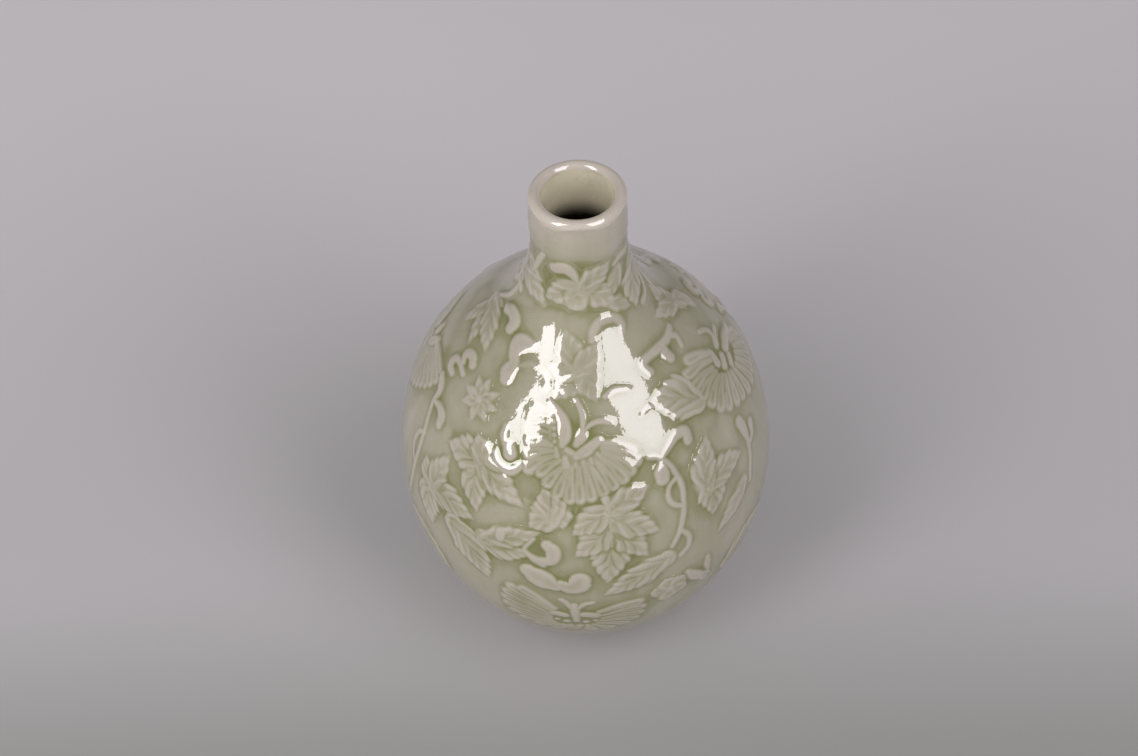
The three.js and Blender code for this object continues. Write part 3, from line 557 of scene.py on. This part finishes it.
def blurred(heights, spread, narrowing=None):
    """Heights smoothed by a spread in cells. Where the columns run round the vase, narrowing
    gives each row's radius as a share of the widest, since its cells are that much narrower."""
    pad = int(4 * spread) + 1
    ends = (0, 0) if narrowing is not None else (pad, pad)
    heights = np.pad(heights, ((pad, pad), ends), mode="edge")
    waves = np.fft.rfftfreq(heights.shape[0])[:, None]
    down = np.fft.rfft(heights, axis=0) * np.exp(-2 * (math.pi * waves * spread) ** 2)
    heights = np.fft.irfft(down, n=heights.shape[0], axis=0)[pad:-pad]
    waves = np.fft.rfftfreq(heights.shape[1])[None, :]
    if narrowing is not None:
        waves = waves / narrowing[:, None]
    across = np.fft.rfft(heights, axis=1) * np.exp(-2 * (math.pi * waves * spread) ** 2)
    heights = np.fft.irfft(across, n=heights.shape[1], axis=1)
    return heights if narrowing is not None else heights[:, pad:-pad]


COLUMNS = 2 * int(math.pi * BODY_RADIUS / MAP_STEP)
ROWS = int(SKIN_RUN[-1] / MAP_STEP) + 1
MAP_TURN = np.arange(COLUMNS) * 360.0 / COLUMNS - 180.0
MAP_RUN = np.arange(ROWS) * MAP_STEP


def clay_map(reliefs):
    """Height of the relief all round the vase."""
    heights = np.zeros((ROWS, COLUMNS))
    for place, clay, low, high, behind in reliefs:
        reach = SKIRT + max(np.abs([*low, *high])) * 1.5
        middle = float(run_at(place[1]))
        rows = np.where(np.abs(MAP_RUN - middle) < reach)[0]
        narrow = radius_at(MAP_RUN[rows]).min()
        off = np.abs((MAP_TURN - place[0] + 180) % 360 - 180)
        columns = np.where(off < min(175.0, math.degrees(reach / narrow)))[0]
        turn, run = np.meshgrid(MAP_TURN[columns], MAP_RUN[rows])
        x, y = about(place, turn, run)
        height = clay(x, y)[1]
        for shift in (0, COLUMNS // 2) if behind else (0,):
            cells = np.ix_(rows, (columns + shift) % COLUMNS)
            heights[cells] = np.maximum(heights[cells], height)
    return heights


def sampled(grid, turn, run):
    """A map's value at degrees and runs."""
    column = (np.asarray(turn) + 180.0) % 360.0 / 360.0 * COLUMNS
    row = np.clip(np.asarray(run) / MAP_STEP, 0, ROWS - 1.001)
    i, j = np.floor(row).astype(int), np.floor(column).astype(int)
    u, v = row - i, column - j
    j0, j1 = j % COLUMNS, (j + 1) % COLUMNS
    return ((grid[i, j0] * (1 - v) + grid[i, j1] * v) * (1 - u)
            + (grid[i + 1, j0] * (1 - v) + grid[i + 1, j1] * v) * u)


reliefs = [(place, *relief_of(kinds), behind) for _, place, kinds, behind in SPRIGS]
CLAY = clay_map(reliefs)
NARROWING = radius_at(MAP_RUN) / BODY_RADIUS
POOLS = (POOL * blurred(CLAY, POOL_SPREAD / MAP_STEP, NARROWING)
         + WIDE_POOL * blurred(CLAY, WIDE_SPREAD / MAP_STEP, NARROWING) + PLAIN
         + FOOT_POOL * eased((run_at(FOOT_POOL_FROM) - MAP_RUN) / 40)[:, None])


# ---- Making pieces

def piece(name, mesh, finish, slot, *nodes):
    """A finished mesh as a piece that rides with the vase and stands for its nodes."""
    made = bpy.data.objects.new(name, mesh)
    bpy.context.scene.collection.objects.link(made)
    mesh.materials.clear()
    mesh.materials.append(finish)
    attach(made, "root")
    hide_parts(*nodes)


def places_of(mesh):
    """Where a mesh's vertices are, as rows of x, y and z."""
    found = np.empty(len(mesh.vertices) * 3, np.float32)
    mesh.vertices.foreach_get("co", found)
    return found.reshape(-1, 3).astype(float)


def mark(mesh, name, values):
    """Gives each vertex a value that a finish reads by name."""
    mesh.attributes.new(name, "FLOAT", "POINT").data.foreach_set("value", values.astype(np.float32))


def evenly(line_r, line_z, low, high, step):
    """Points [radius, height] along a line between two heights, with a close row by each end."""
    run = np.concatenate([[0], np.cumsum(np.hypot(np.diff(line_r), np.diff(line_z)))])
    first, last = np.interp([low, high], line_z, run)
    stops = np.linspace(first, last, max(2, int(round((last - first) / step)) + 1))
    stops = np.concatenate([[first, first + 0.12], stops[1:-1], [last - 0.12, last]])
    points = np.stack([np.interp(stops, run, line_r), np.interp(stops, run, line_z)], 1)
    points[0, 1], points[-1, 1] = low, high
    return [tuple(point) for point in points]


def on_radius(at, radius):
    """Points moved straight out or in to a distance from the axis."""
    now = np.maximum(np.hypot(at[:, 0], at[:, 1]), 1e-6)
    return np.stack([at[:, 0] * radius / now, at[:, 1] * radius / now, at[:, 2]], 1)


def turned(name, profile, steps, finish, slot, round_profile=True):
    """A piece spun from its profile, in millimetres, and glazed thicker where the relief
    pools it."""
    bm = bmesh.new()
    dots = [bm.verts.new((r * MM, 0, z * MM)) for r, z in profile]
    lines = [bm.edges.new(pair) for pair in zip(dots[:-1], dots[1:])]
    if round_profile:
        lines.append(bm.edges.new((dots[-1], dots[0])))
    bmesh.ops.spin(bm, geom=dots + lines, axis=(0, 0, 1), cent=(0, 0, 0), angle=2 * math.pi,
                   steps=steps, use_merge=True)
    bmesh.ops.remove_doubles(bm, verts=bm.verts, dist=1e-6)
    bmesh.ops.recalc_face_normals(bm, faces=bm.faces)
    for edge in bm.edges:
        edge.smooth = len(edge.link_faces) == 2 and edge.calc_face_angle(0) < 0.6
    for face in bm.faces:
        face.smooth = True
    mesh = bpy.data.meshes.new(name)
    bm.to_mesh(mesh)
    bm.free()
    at = places_of(mesh) / MM
    turn = np.degrees(np.arctan2(at[:, 0], -at[:, 1]))
    radius = np.hypot(at[:, 0], at[:, 1])
    run = np.interp(at[:, 2], SKIN_Z, SKIN_RUN)
    outside = radius > radius_at(run) - 0.6 * WALL
    scallops = COLLAR_WAVE * np.cos(np.radians(COLLAR_SCALLOPS * turn))
    above = at[:, 2] - COLLAR_HEIGHT - scallops
    below_lip = eased((LIP_HEIGHT - 3 - at[:, 2]) / 6)
    lift = COLLAR_LIFT * np.where(outside, eased(above / 1.6) * below_lip, 0)
    mesh.vertices.foreach_set("co", (on_radius(at, radius + lift) * MM).astype(np.float32).ravel())
    mesh.update()
    ring = 0.3 * eased(-above / 1.5) * eased((above + 32) / 16)  # glaze gathered below the collar
    rim = above - (RIM_HEIGHT - COLLAR_HEIGHT)
    thin = 0.06 * eased((above + 3) / 5) + 0.16 * eased(above / 17) + 1.2 * eased(rim / 3)
    mark(mesh, "glaze_depth", np.where(outside, sampled(POOLS, turn, run) + ring, 0.1) - thin)
    # Painted light: inside the neck the glaze is painted much paler, for the light on the bore's
    # far wall.
    mark(mesh, "inside", np.where(outside, 0.0, eased((LIP_HEIGHT + 0.9 - at[:, 2]) / 1.8)))
    # Painted shade: further down the bore the inside is painted dark.
    mark(mesh, "painted_bore_shade", np.where(outside, 0.0, eased((PAINTED_SHADE_FROM - at[:, 2]) / PAINTED_SHADE_DEPTH)))
    piece(name, mesh, finish, slot, name)


def sprig(name, place, clay, low, high, finish, behind):
    """A sprig's relief on the skin, and its copy on the far side. A grid is cut to the outline
    and thickened, then its front is laid on the skin by the relief's height."""
    size = high - low + 2 * SKIRT
    counts = np.ceil(size / SPRIG_STEP).astype(int)
    low = (low + high) / 2 - counts * SPRIG_STEP / 2
    bm = bmesh.new()
    bmesh.ops.create_grid(bm, x_segments=int(counts[0]), y_segments=int(counts[1]), size=0.5)
    across = low[0] + np.arange(counts[0] + 1) * SPRIG_STEP
    up = low[1] + np.arange(counts[1] + 1) * SPRIG_STEP
    x, y = np.meshgrid(across, up)
    depth, height = clay(x, y)
    surface = (0.6 * blurred(height, LEVELLING / SPRIG_STEP)
               + 0.4 * blurred(height, 0.5 * LEVELLING / SPRIG_STEP))
    sink = eased((-depth - SKIRT + 1.0) / 1.0)
    cells = np.rint((np.array([v.co[:2] for v in bm.verts]) + 0.5) * counts).astype(int)
    outside = depth[cells[:, 1], cells[:, 0]] < -SKIRT
    bm.verts.ensure_lookup_table()
    bmesh.ops.delete(bm, geom=[v for v, out in zip(bm.verts, outside) if out], context="VERTS")
    bmesh.ops.delete(bm, geom=[v for v in bm.verts if not v.link_faces], context="VERTS")
    front = bmesh.ops.extrude_face_region(bm, geom=bm.faces[:], use_keep_orig=True)["geom"]
    for part in front:
        if isinstance(part, bmesh.types.BMVert):
            part.co.z = 1.0
    bmesh.ops.recalc_face_normals(bm, faces=bm.faces)
    for face in bm.faces:
        face.smooth = True
    mesh = bpy.data.meshes.new(name)
    bm.to_mesh(mesh)
    bm.free()
    at = places_of(mesh)
    cells = np.rint((at[:, :2] + 0.5) * counts).astype(int)
    column, row = cells.T
    turn, run = landed(place, across[column], up[row])
    rise = height[row, column]
    level = (SOFTENED * surface * (1 - sink) - EDGE_SUNK * sink)[row, column]
    top = at[:, 2] > 0.5
    co = on_skin(turn, run, np.where(top, level, -SUNK))
    mesh.vertices.foreach_set("co", co.astype(np.float32).ravel())
    mesh.update()
    mark(mesh, "glaze_depth", sampled(POOLS, turn, run) * (1 - 0.25 * eased(rise / 0.5))
         - RUN_OFF * rise + HELD * surface[row, column])
    piece(name, mesh, finish, "sprig_glaze", name)
    if behind:
        far = mesh.copy()
        far.name = name + "_back"
        far.transform(Matrix.Rotation(math.pi, 4, "Z"))
        piece(name + "_back", far, finish, "sprig_glaze", name + "_back")


# ---- Finishes

class Wire:
    """A socket of a finish's nodes, so that its maths is written as sums."""

    def __init__(self, tree, socket):
        self.tree = tree
        self.socket = socket

    def add(self, kind, settings=None, sockets=None, output=0):
        """Any node: its type, its settings, and the values or links of its sockets."""
        node = self.tree.nodes.new(kind)
        for name, value in (settings or {}).items():
            setattr(node, name, value)
        for name, value in (sockets or {}).items():
            if isinstance(value, Wire):
                self.tree.links.new(value.socket, node.inputs[name])
            else:
                node.inputs[name].default_value = value
        return Wire(self.tree, node.outputs[output]) if node.outputs else None

    def sum(self, operation, other):
        return self.add("ShaderNodeMath", {"operation": operation}, {0: self, 1: other})

    def __add__(self, other):
        return self.sum("ADD", other)

    __radd__ = __add__

    def __sub__(self, other):
        return self.sum("SUBTRACT", other)

    def __rsub__(self, other):
        return (self * -1.0) + other

    def __mul__(self, other):
        return self.sum("MULTIPLY", other)

    __rmul__ = __mul__

    def between(self, low, high):
        """0 at low, 1 at high, eased."""
        return self.add("ShaderNodeMapRange", {"interpolation_type": "SMOOTHSTEP"},
                        {"Value": self, "From Min": low, "From Max": high})

    def toward(self, colour, other):
        """A colour that turns to another as this value goes from 0 to 1."""
        return self.add("ShaderNodeMix", {"data_type": "RGBA"}, {0: self, 6: colour, 7: other}, 2)


def rgb(r, g, b):
    """A colour as it looks on a screen, from 0 to 255, in the shader's own scale."""
    def straight(c):
        c /= 255.0
        return c / 12.92 if c <= 0.04045 else ((c + 0.055) / 1.055) ** 2.4
    return straight(r), straight(g), straight(b), 1.0


def new_finish(name):
    """An empty finish, the wire that its nodes start from, and the surface's own place."""
    finish = bpy.data.materials.new(name)
    finish.use_nodes = True
    finish.node_tree.nodes.clear()
    start = Wire(finish.node_tree, None)
    return finish, start, start.add("ShaderNodeTexCoord", output="Object")


def marked(start, name):
    """A value that mark has given the vertices."""
    return start.add("ShaderNodeAttribute", {"attribute_name": name}, output="Fac")


def noise(coords, scale, detail=2.0, roughness=0.5):
    return coords.add("ShaderNodeTexNoise", None, {"Vector": coords, "Scale": scale,
                      "Detail": detail, "Roughness": roughness})


def celadon(name):
    """Glossy celadon: pale and warm where thin, green where it pools, finely crackled; inside the
    neck painted pale as painted light on the bore's wall, and dark further down as painted shade.
    """
    finish, start, coords = new_finish(name)
    clouds = noise(coords, 45.0, 3.0)
    drawn_out = coords.add("ShaderNodeMapping", None, {"Vector": coords, "Scale": (1, 1, 0.3)})
    streaks = noise(drawn_out, 120.0, 2.0)
    thick = marked(start, "glaze_depth") + (clouds - 0.5) * 0.6 + (streaks - 0.5) * 0.5
    rim, pale, plain = rgb(204, 192, 180), rgb(182, 172, 159), rgb(162, 156, 134)
    green, deep = rgb(142, 138, 105), rgb(116, 117, 66)
    colour = (1.0 - thick.between(-1.4, -0.9)).toward(pale, rim)
    colour = thick.between(-0.45, 0.05).toward(colour, plain)
    colour = thick.between(0.05, 0.33).toward(colour, green)
    colour = thick.between(0.33, 0.7).toward(colour, deep)
    # Painted light: the inside of the neck is painted much paler than the glaze outside.
    colour = marked(start, "inside").toward(colour, rgb(242, 233, 208))
    # Painted shade: the inside is painted near black further down the bore.
    colour = marked(start, "painted_bore_shade").toward(colour, rgb(30, 28, 21))
    cracks = coords.add("ShaderNodeTexVoronoi", {"feature": "DISTANCE_TO_EDGE"},
                        {"Vector": coords, "Scale": 330.0})
    faint = (1 - cracks.between(0.0, 0.05)) * noise(coords, 60.0).between(0.4, 0.65)
    colour = (faint * 0.22).toward(colour, rgb(118, 112, 84))
    ripple = (noise(coords, 75.0, 1.0) * 0.5 + noise(coords, 170.0, 1.0) * 0.2
              + noise(coords, 480.0, 2.0) * 0.12)
    bump = ripple.add("ShaderNodeBump", None, {"Height": ripple, "Strength": 1.0,
                                               "Distance": 0.00035})
    shader = start.add("ShaderNodeBsdfPrincipled", None, {
        "Base Color": colour, "Roughness": 0.035, "IOR": 1.75, "Specular IOR Level": 1.0,
        "Normal": bump})
    start.add("ShaderNodeOutputMaterial", None, {"Surface": shader})
    return finish


def foot_finish(name):
    """Celadon down the ring's outer side, bare fired clay where it rests."""
    finish, start, coords = new_finish(name)
    height = coords.add("ShaderNodeSeparateXYZ", None, {0: coords}, output=2) * (1 / MM)
    edge = height + (noise(coords, 160.0) - 0.5) * 0.9
    glazed = edge.between(1.25, 1.55)
    grit = noise(coords, 900.0, 4.0, 0.7)
    clay = grit.between(0.3, 0.75).toward(rgb(176, 142, 112), rgb(150, 112, 84))
    rust = (1 - edge.between(1.2, 2.1)) * glazed
    colour = glazed.toward(clay, rgb(150, 150, 122))
    colour = (rust * 0.7).toward(colour, rgb(146, 104, 70))
    rough = 0.86 - glazed * 0.78
    bumps = grit * (1 - glazed)
    bump = bumps.add("ShaderNodeBump", None, {"Height": bumps, "Strength": 0.6,
                                              "Distance": 0.0002})
    shader = start.add("ShaderNodeBsdfPrincipled", None, {
        "Base Color": colour, "Roughness": rough, "IOR": 1.5, "Normal": bump})
    start.add("ShaderNodeOutputMaterial", None, {"Surface": shader})
    return finish


glaze = celadon("celadon_glaze")
foot_clay = foot_finish("foot_clay")


# ---- The vessel

# The inner wall runs one wall's width inside the skin.
IN_R, IN_Z = SKIN_R - WALL * OUT_R, SKIN_Z - WALL * OUT_Z
order = np.argsort(IN_Z)
IN_R, IN_Z = IN_R[order], IN_Z[order]

floor_top = FOOT_HEIGHT + FLOOR
inner_side = evenly(IN_R, IN_Z, floor_top, WIDEST_HEIGHT, 3.0)
turned("lower_body",
       [(0, FOOT_HEIGHT), (FOOT_RADIUS * 0.5, FOOT_HEIGHT)]
       + evenly(SKIN_R, SKIN_Z, FOOT_HEIGHT, WIDEST_HEIGHT, BODY_ROW)
       + inner_side[::-1] + [(inner_side[0][0] * 0.5, floor_top), (0, floor_top)],
       BODY_STEPS, glaze, "glaze", False)
turned("upper_body",
       evenly(SKIN_R, SKIN_Z, WIDEST_HEIGHT, NECK_SEAM_HEIGHT, BODY_ROW)
       + evenly(IN_R, IN_Z, WIDEST_HEIGHT, NECK_SEAM_HEIGHT, 2.5)[::-1],
       BODY_STEPS, glaze, "glaze")
lip_foot = LIP_HEIGHT - 1.5 * LIP_BEAD
lip = [(NECK_RADIUS - WALL / 2 + LIP_BEAD * math.cos(a), LIP_HEIGHT + LIP_BEAD * math.sin(a))
       for a in np.linspace(-0.35, math.pi + 0.35, 26)]
turned("neck",
       evenly(SKIN_R, SKIN_Z, NECK_SEAM_HEIGHT, lip_foot, NECK_ROW) + lip
       + evenly(IN_R, IN_Z, NECK_SEAM_HEIGHT, lip_foot, 1.4)[::-1],
       NECK_STEPS, glaze, "glaze")

foot_inner = FOOT_RADIUS - FOOT_WIDTH
turned("foot_ring",
       [(foot_inner, FOOT_HEIGHT), (foot_inner, FOOT_HEIGHT - 0.2), (foot_inner, 3.5),
        (foot_inner, 1.6), (foot_inner + 0.15, 0.8), (foot_inner + 0.45, 0.25),
        (foot_inner + FOOT_BEVEL, 0), (foot_inner + FOOT_BEVEL + 0.3, 0),
        (FOOT_RADIUS - 1.8 * FOOT_BEVEL, 0), (FOOT_RADIUS - 1.5 * FOOT_BEVEL, 0),
        (FOOT_RADIUS - 0.95, 0.25), (FOOT_RADIUS - 0.65, 0.7), (FOOT_RADIUS - 0.5, 1.3),
        (FOOT_RADIUS - 0.3, 3.2), (FOOT_RADIUS - 0.1, 5.0), (FOOT_RADIUS, 5.85),
        (FOOT_RADIUS, FOOT_HEIGHT)],
       NECK_STEPS, foot_clay, "bare_clay")

# ---- The sprigs

for (name, *_), (place, clay, low, high, behind) in zip(SPRIGS, reliefs):
    sprig(name, place, clay, low, high, glaze, behind)


# ---- Floor, light and camera

def shaded_paper_finish(name, near, middle, far):
    """Matt paper with painted shade and light: darker towards the camera, lighter far back."""
    finish, start, coords = new_finish(name)
    back = coords.add("ShaderNodeSeparateXYZ", None, {0: coords}, output=1)
    # Painted shade and light: the paper's colour darkens towards the camera and lightens towards
    # the back.
    colour = back.between(-0.13, 0.01).toward(near, middle)
    colour = back.between(0.0, 0.45).toward(colour, far)
    shader = start.add("ShaderNodeBsdfPrincipled", None, {
        "Base Color": colour, "Roughness": 0.9, "Specular IOR Level": 0.2})
    start.add("ShaderNodeOutputMaterial", None, {"Surface": shader})
    return finish


bm = bmesh.new()
bmesh.ops.create_grid(bm, x_segments=1, y_segments=1, size=4.0)
floor_mesh = bpy.data.meshes.new("floor")
bm.to_mesh(floor_mesh)
bm.free()
floor = bpy.data.objects.new("floor", floor_mesh)
bpy.context.scene.collection.objects.link(floor)
floor_mesh.materials.append(shaded_paper_finish("paper", rgb(154, 153, 151), rgb(191, 187, 190),
                                          rgb(227, 221, 226)))
floor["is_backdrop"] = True


LAMP_DISTANCE = 1.3
LAMP_AIM = Vector((0, 0, 0.12))
LAMP_COLOUR = (1.0, 0.98, 1.02)
WALL_COLOUR = (1.0, 1.0, 0.96)


def softbox(name, turn, rise, tilt, width, height, brightness, shows=True):
    """A rectangular lamp that faces the vase from degrees round and above. One that doesn't
    show lights the vase without a highlight, as bounced light from a white wall does."""
    data = bpy.data.lights.new(name, "AREA")
    data.shape = "RECTANGLE"
    data.size = width
    data.size_y = height
    data.energy = brightness * math.pi * width * height
    lamp = bpy.data.objects.new(name, data)
    lamp.visible_glossy = shows
    data.color = LAMP_COLOUR if shows else WALL_COLOUR
    a, e = math.radians(turn), math.radians(rise)
    away = Vector((math.sin(a) * math.cos(e), -math.cos(a) * math.cos(e), math.sin(e)))
    lamp.location = LAMP_AIM + away * LAMP_DISTANCE
    lamp.rotation_mode = "QUATERNION"
    lamp.rotation_quaternion = (away.to_track_quat("Z", "Y")
                                @ Quaternion((0, 0, 1), math.radians(tilt)))
    bpy.context.scene.collection.objects.link(lamp)


softbox("left_softbox", -45.3, 36.0, -9.5, 0.41, 1.22, 4.1)
softbox("right_softbox", 44.0, 38.5, -8.7, 0.62, 1.36, 3.0)
softbox("left_wall", -95.0, 32.0, 0.0, 1.2, 1.0, 0.75, shows=False)
softbox("right_wall", 95.0, 20.0, 0.0, 1.2, 1.0, 0.42, shows=False)
softbox("front_wall", -22.0, 6.0, 0.0, 1.5, 0.5, 2.6, shows=False)

world = bpy.data.worlds.new("room")
bpy.context.scene.world = world
world.use_nodes = True
room = Wire(world.node_tree, None)
world.node_tree.nodes.clear()
seen = room.add("ShaderNodeLightPath", output="Is Camera Ray")
light = room.add("ShaderNodeBackground", None, {"Color": (0.225, 0.23, 0.225, 1)})
backdrop = room.add("ShaderNodeBackground", None, {"Color": rgb(190, 187, 190)})
both = seen.add("ShaderNodeMixShader", None, {0: seen, 1: light, 2: backdrop})
both.add("ShaderNodeOutputWorld", None, {"Surface": both})

# The photograph was taken from in front and well above, with a long lens.
FOCAL_PIXELS = 2400.0
FRAME_WIDTH, FRAME_HEIGHT = 1138, 756
BELLY = Vector((0, 0, 0.089))
DISTANCE = 12.9347 * 0.081
RISE, ROLL = math.radians(49.1), math.radians(1.95)
BELLY_AT = (585.5236, 437.623)  # where the belly's middle is in the frame

tower = Vector((0, -DISTANCE * math.cos(RISE), DISTANCE * math.sin(RISE)))
forward = -tower.normalized()
right = forward.cross(Vector((0, 0, 1))).normalized()
upward = right.cross(forward)
level = Matrix((right, upward, -forward))
to_belly = Vector(((BELLY_AT[0] - FRAME_WIDTH / 2) / FOCAL_PIXELS,
                   -(BELLY_AT[1] - FRAME_HEIGHT / 2) / FOCAL_PIXELS, -1)).normalized()
shift = Vector((0, 0, -1)).rotation_difference(to_belly).to_matrix()
turned_view = shift @ Matrix.Rotation(ROLL, 3, "Z") @ level

camera_data = bpy.data.cameras.new("camera")
camera_data.sensor_width = 36.0
camera_data.lens = FOCAL_PIXELS / FRAME_WIDTH * camera_data.sensor_width
camera = bpy.data.objects.new("camera", camera_data)
bpy.context.scene.collection.objects.link(camera)
camera.matrix_world = Matrix.Translation(tower + BELLY) @ turned_view.transposed().to_4x4()
bpy.context.scene.camera = camera

bpy.context.scene.view_settings.view_transform = "Standard"

low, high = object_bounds()
